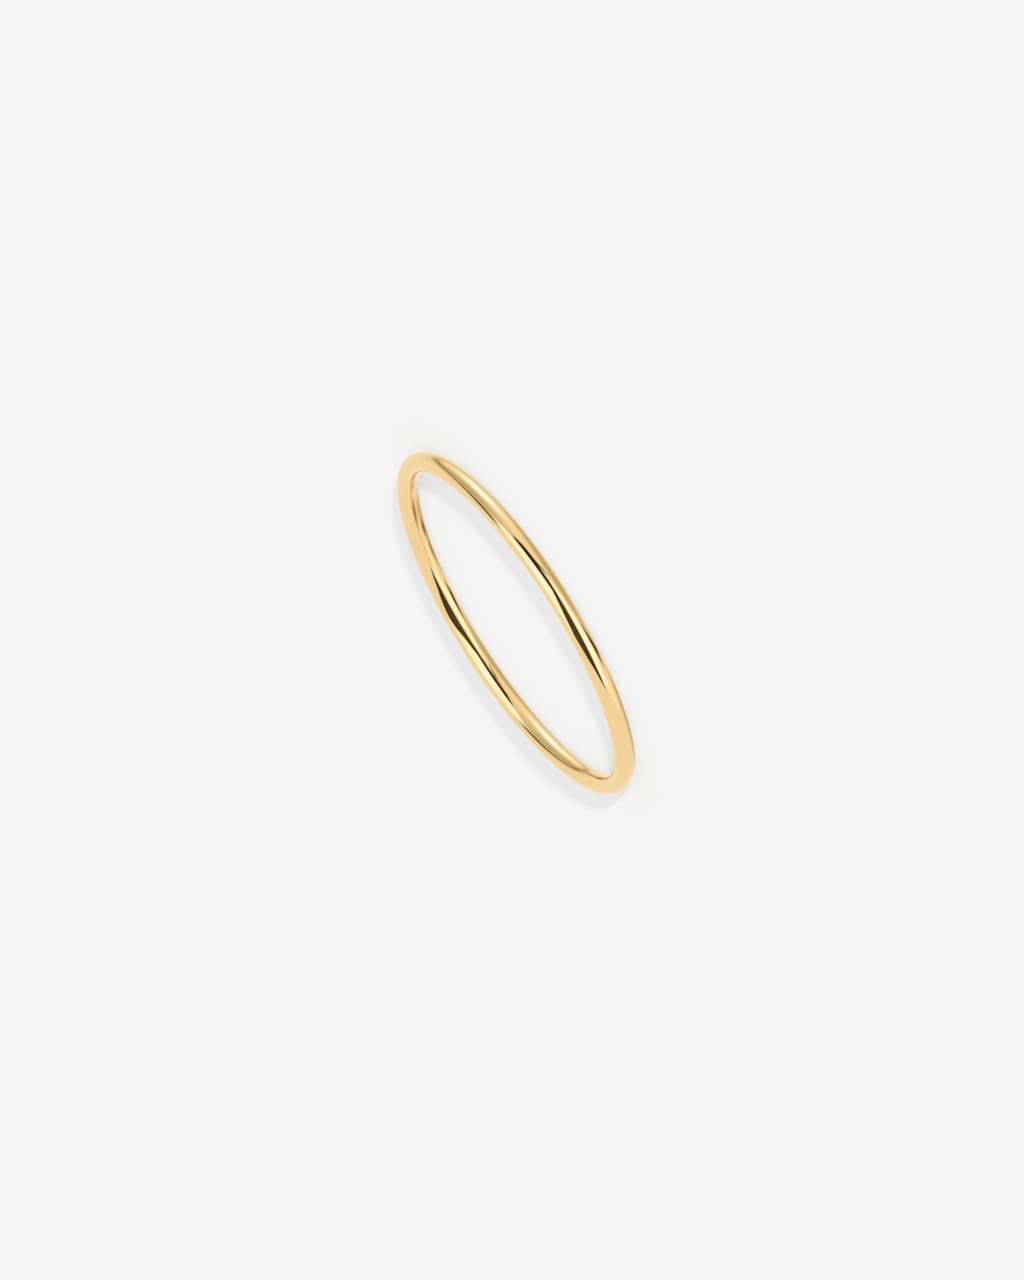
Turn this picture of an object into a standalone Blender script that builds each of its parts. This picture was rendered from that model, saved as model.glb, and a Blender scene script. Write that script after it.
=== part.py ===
"""A plain ring: one length of round gold wire, bent to a hoop, soldered shut and polished.

It lies on its side. The origin is at the centre of the finger hole, in the plane the ring rests on,
and +Z is the hoop's axis.
"""

import math

import bmesh
import bpy
from mathutils import Matrix

# Driving dimensions, in metres
FINGER_HOLE_DIAMETER = 0.0173
WIRE_DIAMETER = 0.00102

# Flat sides that stand for the round wire and the round hoop. The wire's number is a multiple of
# four, so that one of its sides lies flat at the very bottom.
WIRE_SIDES = 24
HOOP_SIDES = 128

# Polished yellow gold
GOLD_COLOUR = (0.91, 0.66, 0.33, 1.0)
GOLD_ROUGHNESS = 0.12


def clear_scene():
    """Start from an empty scene."""
    for item in list(bpy.data.objects):
        bpy.data.objects.remove(item, do_unlink=True)


def yellow_gold():
    """The ring's one material."""
    material = bpy.data.materials.new("yellow_gold")
    material.use_nodes = True
    shader = material.node_tree.nodes["Principled BSDF"]
    shader.inputs["Base Color"].default_value = GOLD_COLOUR
    shader.inputs["Metallic"].default_value = 1.0
    shader.inputs["Roughness"].default_value = GOLD_ROUGHNESS
    return material


def wire_section(mesh):
    """The wire's cut end, standing upright at +X with its lowest side on the floor.

    Its sides touch the true circle at their middles. So the wire has its full diameter between two
    opposite sides, and the finger hole its full diameter between two opposite inner sides.
    """
    wire_radius = WIRE_DIAMETER / 2
    hoop_radius = FINGER_HOLE_DIAMETER / 2 + wire_radius
    corner_radius = wire_radius / math.cos(math.pi / WIRE_SIDES)
    bmesh.ops.create_circle(mesh, segments=WIRE_SIDES, radius=corner_radius)
    side_down = Matrix.Rotation(math.pi / WIRE_SIDES, 4, "Z")
    stand_up = Matrix.Rotation(math.pi / 2, 4, "X")
    onto_hoop = Matrix.Translation((hoop_radius, 0.0, wire_radius))
    bmesh.ops.transform(mesh, matrix=onto_hoop @ stand_up @ side_down, verts=mesh.verts)


def band(material):
    """The hoop: the wire's section carried once round the finger hole and closed on itself."""
    mesh = bmesh.new()
    wire_section(mesh)
    # Half a step back, so that the middle of a flat side faces +X
    half_step = Matrix.Rotation(-math.pi / HOOP_SIDES, 4, "Z")
    bmesh.ops.transform(mesh, matrix=half_step, verts=mesh.verts)
    bmesh.ops.spin(
        mesh,
        geom=mesh.verts[:] + mesh.edges[:],
        axis=(0.0, 0.0, 1.0),
        angle=2 * math.pi,
        steps=HOOP_SIDES,
        use_merge=True,
    )
    bmesh.ops.recalc_face_normals(mesh, faces=mesh.faces)
    data = bpy.data.meshes.new("band")
    mesh.to_mesh(data)
    mesh.free()
    data.shade_smooth()
    data.materials.append(material)
    hoop = bpy.data.objects.new("band", data)
    bpy.context.scene.collection.objects.link(hoop)
    return hoop


clear_scene()
band(yellow_gold())
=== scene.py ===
"""A plain gold ring lying on a pale table, dressed for the camera."""

import math

import bmesh
import bpy
from mathutils import Matrix, Vector


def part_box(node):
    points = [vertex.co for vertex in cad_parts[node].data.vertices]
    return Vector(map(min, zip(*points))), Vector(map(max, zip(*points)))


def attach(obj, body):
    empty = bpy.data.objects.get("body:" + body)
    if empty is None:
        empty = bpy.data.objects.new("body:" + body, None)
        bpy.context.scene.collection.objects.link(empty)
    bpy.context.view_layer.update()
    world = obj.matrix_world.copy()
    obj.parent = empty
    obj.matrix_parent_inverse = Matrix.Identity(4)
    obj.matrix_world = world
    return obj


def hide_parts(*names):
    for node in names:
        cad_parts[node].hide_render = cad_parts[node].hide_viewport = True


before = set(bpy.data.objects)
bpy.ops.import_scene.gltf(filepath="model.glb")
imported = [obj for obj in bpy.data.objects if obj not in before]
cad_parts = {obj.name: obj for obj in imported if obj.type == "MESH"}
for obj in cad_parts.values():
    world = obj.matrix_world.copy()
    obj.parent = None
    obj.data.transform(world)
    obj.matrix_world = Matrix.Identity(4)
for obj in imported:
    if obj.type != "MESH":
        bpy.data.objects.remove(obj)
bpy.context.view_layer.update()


# Band
# A length of round 18 gauge wire in 14 karat yellow gold. It is bent round a mandrel, which presses it
# oval by a fiftieth. Its ends are soldered with a gold solder that doesn't show, and a felt buff polishes
# the hoop.

WIRE_FACETS = 96
HOOP_FACETS = 640
WIRE_OVAL = 0.02
OVAL_LEAN = math.radians(34.0)
FINE_LINE_HEIGHT = 0.0000004
BROAD_LINE_HEIGHT = 0.000002
HOLE_LINE_HEIGHT = 0.000012
POLISH = 0.04
FINE_DULLNESS = 0.03
SHEEN_DULLNESS = 0.02

hoop_low, hoop_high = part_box("band")
wire_radius = (hoop_high.z - hoop_low.z) / 2
outer_radius = max(hoop_high.x, hoop_high.y)
hoop_radius = outer_radius - wire_radius
wire_centre_height = hoop_low.z + wire_radius


class Tone:
    """A socket of a shader tree. Sums and products of tones read as plain arithmetic."""

    def __init__(self, tree, socket=None):
        self.tree = tree
        self.socket = socket

    def node(self, kind, settings=None, sockets=None, output=0):
        """A new node of a kind. Its settings come first, then the values or links of its sockets."""
        made = self.tree.nodes.new(kind)
        for name, value in (settings or {}).items():
            setattr(made, name, value)
        for name, value in (sockets or {}).items():
            if isinstance(value, Tone):
                self.tree.links.new(value.socket, made.inputs[name])
            else:
                made.inputs[name].default_value = value
        return Tone(self.tree, made.outputs[output])

    def math(self, operation, *values):
        """A Math node on numbers."""
        return self.node("ShaderNodeMath", {"operation": operation}, dict(enumerate(values)))

    def __add__(self, other):
        return self.math("ADD", self, other)

    def __radd__(self, other):
        return self.math("ADD", other, self)

    def __sub__(self, other):
        return self.math("SUBTRACT", self, other)

    def __rsub__(self, other):
        return self.math("SUBTRACT", other, self)

    def __mul__(self, other):
        return self.math("MULTIPLY", self, other)

    def __rmul__(self, other):
        return self.math("MULTIPLY", other, self)

    def __pow__(self, power):
        return self.math("POWER", self, power)

    def ease(self, start, end):
        """0 at start, 1 at end and a soft step between them."""
        settings = {"interpolation_type": "SMOOTHSTEP"}
        sockets = {"Value": self, "From Min": start, "From Max": end}
        return self.node("ShaderNodeMapRange", settings, sockets)

    def blend(self, first, second):
        """The colour first where this tone is 0, and second where it is 1."""
        sockets = {0: self, 6: first, 7: second}
        return self.node("ShaderNodeMix", {"data_type": "RGBA"}, sockets, output=2)

    def into(self, node, socket):
        """Links this tone to a socket of a node that is there already."""
        self.tree.links.new(self.socket, node.inputs[socket])


def colour(red, green, blue):
    """A socket's colour, with alpha."""
    return (red, green, blue, 1.0)


def yellow_gold():
    """Mirror polish with the buff's fine lines and sheen, and painted dark reflections in the finger
    hole.
    """
    grazing_tint = colour(1.0, 0.96, 0.86)
    deep_gold = colour(0.95, 0.667, 0.332)
    light_gold = colour(0.95, 0.683, 0.348)
    # The brown of the painted dark reflections on the finger hole's wall
    painted_reflection_brown = colour(0.44, 0.28, 0.12)
    material = bpy.data.materials.new("yellow_gold")
    material.use_nodes = True
    tree = material.node_tree
    shader = tree.nodes["Principled BSDF"]
    shader.inputs["Metallic"].default_value = 1.0
    shader.inputs["Specular Tint"].default_value = grazing_tint

    place = Tone(tree).node("ShaderNodeTexCoord", output=3)
    x, y, z = (place.node("ShaderNodeSeparateXYZ", None, {0: place}, output=axis) for axis in range(3))
    # How far out, round and up a point lies from the wire's middle line
    across = (x * x + y * y) ** 0.5 - hoop_radius
    around = y.math("ARCTAN2", y, x)
    height = z - wire_centre_height
    lift = height * (1 / wire_radius)
    hole_depth = 0.7 * wire_radius
    hole_wall = across.ease(0.0, -hole_depth)

    def streaks(width, length, detail):
        """Noise drawn out along the hoop. It has no seam, because it also follows x and y, slowly."""
        spread = {0: across * (1 / width), 1: height * (1 / width), 2: x * (1 / length)}
        spot = place.node("ShaderNodeCombineXYZ", None, spread)
        sockets = {"Vector": spot, "W": y * (1 / length), "Scale": 1.0, "Detail": detail}
        return place.node("ShaderNodeTexNoise", {"noise_dimensions": "4D"}, sockets)

    def painted_reflection_patch(turn, middle, reach, breadth):
        """A soft oval of painted dark reflection on the finger hole's wall, in degrees round it and in
        the wire's radius up it.
        """
        away = around - math.radians(turn)
        u = away.math("WRAP", away, math.pi, -math.pi) * (1 / math.radians(reach))
        v = (lift - middle) * (1 / breadth)
        return ((u * u + v * v) ** 0.5).ease(1.0, 0.1) * hole_wall

    fine = streaks(0.00008, 0.006, 2.0)
    broad = streaks(0.0002, 0.012, 0.0)
    sheen = streaks(0.0006, 0.003, 1.0)
    # Painted dark reflections on the finger hole's wall: a thin brown line at both ends of the ring, and
    # darker brown near its left end
    painted_reflections = [
        (painted_reflection_patch(-3, 0.58, 5, 0.13), painted_reflection_brown),
        (painted_reflection_patch(3, 0.38, 8, 0.16), painted_reflection_brown),
        (painted_reflection_patch(14, 0.15, 10, 0.14), painted_reflection_brown),
        (painted_reflection_patch(161, 0.25, 9, 0.11), painted_reflection_brown),
        (painted_reflection_patch(171, 0.38, 8, 0.15), painted_reflection_brown),
        (painted_reflection_patch(-179, 0.62, 6, 0.15), painted_reflection_brown),
        (painted_reflection_patch(33, -0.42, 12, 0.45), colour(0.76, 0.46, 0.16)),
        (painted_reflection_patch(33, 0.08, 12, 0.22), colour(0.36, 0.17, 0.02)),
        (painted_reflection_patch(43, -0.47, 7, 0.26), colour(0.22, 0.09, 0.0)),
        (painted_reflection_patch(53, -0.52, 8, 0.20), colour(0.52, 0.29, 0.06)),
    ]
    gold_tone = broad.ease(0.35, 0.65).blend(deep_gold, light_gold)
    for mask, brown in painted_reflections:
        gold_tone = mask.blend(gold_tone, brown)
    gold_tone.into(shader, "Base Color")
    (POLISH + FINE_DULLNESS * fine + SHEEN_DULLNESS * sheen).into(shader, "Roughness")
    relief = FINE_LINE_HEIGHT * fine + (BROAD_LINE_HEIGHT + HOLE_LINE_HEIGHT * hole_wall) * broad
    bump = relief.node("ShaderNodeBump", None, {"Strength": 1.0, "Distance": 1.0, "Height": relief})
    bump.into(shader, "Normal")
    return material


gold = yellow_gold()

hoop = bmesh.new()
bmesh.ops.create_circle(hoop, segments=WIRE_FACETS, radius=wire_radius)
lean = Matrix.Rotation(OVAL_LEAN, 4, "Z")
press = lean @ Matrix.Diagonal((1 + WIRE_OVAL, 1 - WIRE_OVAL, 1, 1)) @ lean.inverted()
stand_up = Matrix.Rotation(math.pi / 2, 4, "X")
onto_hoop = Matrix.Translation((hoop_radius, 0.0, wire_centre_height))
bmesh.ops.transform(hoop, matrix=onto_hoop @ stand_up @ press, verts=hoop.verts)
bmesh.ops.spin(
    hoop,
    geom=hoop.verts[:] + hoop.edges[:],
    axis=(0.0, 0.0, 1.0),
    angle=2 * math.pi,
    steps=HOOP_FACETS,
    use_merge=True,
)
bmesh.ops.recalc_face_normals(hoop, faces=hoop.faces)
band_mesh = bpy.data.meshes.new("gold_band")
hoop.to_mesh(band_mesh)
hoop.free()
band_mesh.shade_smooth()
band_mesh.materials.append(gold)
band = bpy.data.objects.new("gold_band", band_mesh)
bpy.context.scene.collection.objects.link(band)
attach(band, "root")
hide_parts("band")


# Camera
# The photograph looks down on the hoop's plane at 15 degrees, from far away through a long lens. It is
# turned in the picture so that the hoop's long axis runs from the upper left to the lower right.

PHOTO_WIDTH = 1024
PHOTO_HEIGHT = 1280
PIXELS_PER_METRE = 20535
RING_PIXEL = Vector((515.8, 623.1))
LOOK_DOWN = math.radians(15.14)
LONG_AXIS_TURN = math.radians(57.74)
CAMERA_DISTANCE = 2.4
SENSOR_WIDTH = 36.0
NEAR_CLIP = 0.01
FAR_CLIP = 10.0

to_camera = Vector((0.0, -math.cos(LOOK_DOWN), math.sin(LOOK_DOWN)))
level_right = Vector((1.0, 0.0, 0.0))
level_up = to_camera.cross(level_right)
picture_right = -math.cos(LONG_AXIS_TURN) * level_right - math.sin(LONG_AXIS_TURN) * level_up
picture_up = math.sin(LONG_AXIS_TURN) * level_right - math.cos(LONG_AXIS_TURN) * level_up
ring_centre = Vector((0.0, 0.0, wire_centre_height))
aside = (PHOTO_WIDTH / 2 - RING_PIXEL.x) / PIXELS_PER_METRE
above = (RING_PIXEL.y - PHOTO_HEIGHT / 2) / PIXELS_PER_METRE
picture_centre = ring_centre + aside * picture_right + above * picture_up

# The sensor's width spans the picture's height, which is its longer side
camera_data = bpy.data.cameras.new("camera")
camera_data.sensor_width = SENSOR_WIDTH
camera_data.lens = SENSOR_WIDTH * CAMERA_DISTANCE * PIXELS_PER_METRE / PHOTO_HEIGHT
camera_data.clip_start = NEAR_CLIP
camera_data.clip_end = FAR_CLIP
camera = bpy.data.objects.new("camera", camera_data)
facing = Matrix((picture_right, picture_up, to_camera)).transposed().to_4x4()
camera.matrix_world = Matrix.Translation(picture_centre + CAMERA_DISTANCE * to_camera) @ facing
bpy.context.scene.collection.objects.link(camera)
bpy.context.scene.camera = camera


# Table
# A smooth matt white board, far wider than the picture. It glows softly, so that no shade gathers on it.

TABLE_HALF_WIDTH = 3.0
TABLE_COLOUR = colour(0.22, 0.22, 0.22)
TABLE_GLOW = 0.594

board = bmesh.new()
bmesh.ops.create_grid(board, x_segments=1, y_segments=1, size=TABLE_HALF_WIDTH)
bmesh.ops.translate(board, vec=(0.0, 0.0, hoop_low.z), verts=board.verts)
table_mesh = bpy.data.meshes.new("table")
board.to_mesh(table_mesh)
board.free()
matt_white = bpy.data.materials.new("matt_white")
matt_white.use_nodes = True
matt_shader = matt_white.node_tree.nodes["Principled BSDF"]
matt_shader.inputs["Base Color"].default_value = TABLE_COLOUR
matt_shader.inputs["Roughness"].default_value = 1.0
matt_shader.inputs["Specular IOR Level"].default_value = 0.0
matt_shader.inputs["Emission Color"].default_value = colour(1.0, 1.0, 1.0)
matt_shader.inputs["Emission Strength"].default_value = TABLE_GLOW
table_mesh.materials.append(matt_white)
table = bpy.data.objects.new("table", table_mesh)
table.visible_glossy = False
bpy.context.scene.collection.objects.link(table)


# Lamp
# A low lamp far behind the camera. It lays the soft shadow on the table beyond the ring's far side.

LAMP_HEIGHT = math.radians(9.0)
LAMP_ASIDE = math.radians(5.0)
LAMP_STRENGTH = 9.0
LAMP_SOFTNESS = math.radians(2.0)

lamp_data = bpy.data.lights.new("low_lamp", "SUN")
lamp_data.energy = LAMP_STRENGTH
lamp_data.angle = LAMP_SOFTNESS
low_lamp = bpy.data.objects.new("low_lamp", lamp_data)
to_lamp = Vector((
    math.cos(LAMP_HEIGHT) * math.sin(LAMP_ASIDE),
    -math.cos(LAMP_HEIGHT) * math.cos(LAMP_ASIDE),
    math.sin(LAMP_HEIGHT),
))
low_lamp.rotation_euler = to_lamp.to_track_quat("Z", "Y").to_euler()
low_lamp.visible_glossy = False
bpy.context.scene.collection.objects.link(low_lamp)


# Studio
# A pale tent with two windows, a round lamp and the dark shape of the camera stand. Each patch is placed
# where a mirror ball at the ring would show it to the camera: across and up, from -1 to 1.

world = bpy.data.worlds.new("studio")
world.use_nodes = True
world.cycles.sampling_method = "NONE"
bpy.context.scene.world = world
studio = world.node_tree
background = studio.nodes["Background"]

looking = Tone(studio).node("ShaderNodeTexCoord")
halfway = looking.node("ShaderNodeVectorMath", {"operation": "ADD"}, {0: looking, 1: to_camera})
ball = halfway.node("ShaderNodeVectorMath", {"operation": "NORMALIZE"}, {0: halfway})
dot_product = {"operation": "DOT_PRODUCT"}
ball_x = ball.node("ShaderNodeVectorMath", dot_product, {0: ball, 1: picture_right}, output=1)
ball_y = ball.node("ShaderNodeVectorMath", dot_product, {0: ball, 1: picture_up}, output=1)


def pane(corners, softness):
    """A flat-sided patch, inside every line through two neighbouring corners. They run anticlockwise."""
    inside = None
    for (x0, y0), (x1, y1) in zip(corners, corners[1:] + corners[:1]):
        length = math.hypot(x1 - x0, y1 - y0)
        inward_x = (y0 - y1) / length
        inward_y = (x1 - x0) / length
        depth = ball_x * inward_x + ball_y * inward_y - (x0 * inward_x + y0 * inward_y)
        inside = depth if inside is None else depth.math("MINIMUM", depth, inside)
    return inside.ease(-softness, softness)


def glow(centre, size, turned=0.0, core=0.0):
    """A soft oval patch, turned anticlockwise by some degrees. Its full tone reaches out to its core."""
    along = Vector((math.cos(math.radians(turned)), math.sin(math.radians(turned))))
    x = ball_x - centre[0]
    y = ball_y - centre[1]
    u = x * (along.x / size[0]) + y * (along.y / size[0])
    v = y * (along.x / size[1]) - x * (along.y / size[1])
    return ((u * u + v * v) ** 0.5).ease(1.0, core)


# The tent, its warmer right side and the tan walls, which end in a round arch at the left
tent = colour(0.93, 0.94, 0.92)
amber = colour(0.62, 0.58, 0.42)
brown = colour(0.50, 0.42, 0.25)
left_wall = colour(0.56, 0.57, 0.44)
right_wall = colour(0.60, 0.55, 0.38)
arch_top = colour(0.60, 0.55, 0.45)
arch_edge = colour(0.33, 0.27, 0.14)
arch_side = colour(0.12, 0.09, 0.04)
light = glow((0.98, -0.08), (0.22, 0.42), 0, 0.2).blend(tent, amber)
light = glow((0.90, 0.07), (0.05, 0.20), 0, 0.2).blend(light, brown)
arch_x = ball_x + 0.05
arch_y = ball_y - 0.22
arch = (arch_x * arch_x + arch_y * arch_y) ** 0.5
outside = 0.6 * arch.ease(0.80, 0.68) * ball_x.ease(-0.45, -0.72) * ball_y.ease(-0.05, 0.15)
light = outside.blend(light, amber)
fading = ball_x.ease(-0.05, -0.6) * ball_y.ease(0.05, 0.25) * (1.0 - 0.7 * ball_y.ease(0.4, 0.85))
light = (arch.ease(0.675, 0.655) * fading).blend(light, left_wall)
light = glow((0.58, 0.49), (0.32, 0.46), 10, 0.3).blend(light, right_wall)


def arch_line(radius, width):
    """A soft line along the arch."""
    away = arch - radius
    return away.math("ABSOLUTE", away).ease(width, 0.0)


top_line = arch_line(0.70, 0.035) * ball_x.ease(0.75, 0.40) * ball_y.ease(0.55, 0.75)
edge_line = arch_line(0.685, 0.045) * ball_x.ease(-0.20, -0.72) * ball_y.ease(-0.12, 0.05)
side_line = arch_line(0.69, 0.06) * ball_x.ease(-0.30, -0.60)
side_line = side_line * ball_y.ease(0.35, 0.10) * ball_y.ease(-0.12, 0.0)
light = top_line.blend(light, arch_top)
light = edge_line.blend(light, arch_edge)
light = side_line.blend(light, arch_side)

# The round lamp at the top
spill = colour(1.04, 1.25, 1.25)
lamp = colour(1.08, 1.50, 2.60)
light = glow((-0.13, 0.70), (0.47, 0.27)).blend(light, spill)
light = glow((-0.09, 0.70), (0.30, 0.17), 5).blend(light, lamp)

# Two windows, each with a strip of brighter sky, and some spill beside the right one
window = colour(1.03, 1.33, 1.5)
sky = colour(1.0, 1.36, 2.4)
left_window = [(-0.675, -0.04), (-0.58, -0.28), (-0.42, -0.44), (-0.06, 0.0)]
left_window += [(-0.30, 0.16), (-0.45, 0.16), (-0.56, 0.105)]
right_window = [(0.03, 0.22), (0.08, -0.1), (0.16, -0.45), (0.3, -0.42)]
right_window += [(0.48, -0.3), (0.6, -0.03), (0.5, 0.14), (0.32, 0.24)]
light = pane(left_window, 0.025).blend(light, window)
light = glow((0.56, -0.30), (0.16, 0.16)).blend(light, spill)
light = pane(right_window, 0.04).blend(light, window)
light = glow((-0.39, -0.11), (0.20, 0.08), 45).blend(light, sky)
light = glow((0.32, -0.12), (0.14, 0.05), 30).blend(light, sky)

# The camera stand, with its head, its side arm and the dusk that it casts to its right
dusk = colour(0.22, 0.18, 0.10)
stand = colour(0.045, 0.032, 0.01)
stand_middle = colour(0.085, 0.07, 0.03)
stand_head = colour(0.035, 0.018, 0.004)
stand_neck = colour(0.13, 0.06, 0.015)
stand_arm = colour(0.08, 0.06, 0.03)
shade = [(0.0, -0.46), (0.21, -0.42), (0.19, -0.30), (0.16, 0.0), (0.11, 0.19), (0.0, 0.19)]
body = [(-0.38, -0.405), (-0.2, -0.45), (0.245, -0.48), (0.21, -0.36)]
body += [(0.105, 0.0), (0.08, 0.10), (0.0, 0.10), (-0.05, 0.03)]
middle = [(-0.27, -0.38), (0.08, -0.40), (0.05, -0.12), (-0.04, -0.10)]
head = [(-0.36, 0.18), (-0.08, 0.0), (0.08, -0.02), (0.07, 0.13)]
head += [(0.02, 0.295), (-0.08, 0.32), (-0.23, 0.28)]
arm = [(0.0, 0.21), (0.12, 0.25), (0.29, 0.28), (0.29, 0.305), (0.10, 0.295), (0.0, 0.28)]
light = pane(shade, 0.045).blend(light, dusk)
light = pane(body, 0.012).blend(light, stand)
light = pane(middle, 0.05).blend(light, stand_middle)
light = pane(head, 0.02).blend(light, stand_head)
light = glow((0.0, -0.06), (0.12, 0.07), 30, 0.2).blend(light, stand_neck)
light = pane(arm, 0.015).blend(light, stand_arm)

# The foot of the arch at the left and a dark corner at the right
arch_foot = colour(0.09, 0.065, 0.03)
corner = colour(0.09, 0.06, 0.025)
foot_patch = [(-0.76, 0.0), (-0.72, -0.11), (-0.66, -0.09), (-0.64, 0.05), (-0.67, 0.12), (-0.73, 0.13)]
corner_patch = [(0.52, 0.17), (0.62, 0.08), (0.66, -0.07), (0.76, 0.06), (0.84, 0.24), (0.68, 0.21)]
light = pane(foot_patch, 0.025).blend(light, arch_foot)
light = pane(corner_patch, 0.03).blend(light, corner)
light.into(background, "Color")

# Only the polished metal mirrors the tent. The table is lit by plain white, and past its edge the camera
# sees the same paper white as on the table.
PAPER_WHITE = colour(0.913, 0.913, 0.913)
TENT_WHITE = colour(1.0, 1.0, 1.0)
direct_look = looking.node("ShaderNodeLightPath", output=0)
mirrored = looking.node("ShaderNodeLightPath", output=3)
plain = studio.nodes.new("ShaderNodeBackground")
direct_look.blend(TENT_WHITE, PAPER_WHITE).into(plain, "Color")
either = studio.nodes.new("ShaderNodeMixShader")
mirrored.into(either, 0)
studio.links.new(plain.outputs[0], either.inputs[1])
studio.links.new(background.outputs[0], either.inputs[2])
studio.links.new(either.outputs[0], studio.nodes["World Output"].inputs["Surface"])

# The picture's tones stay as they are lit
bpy.context.scene.view_settings.view_transform = "Standard"
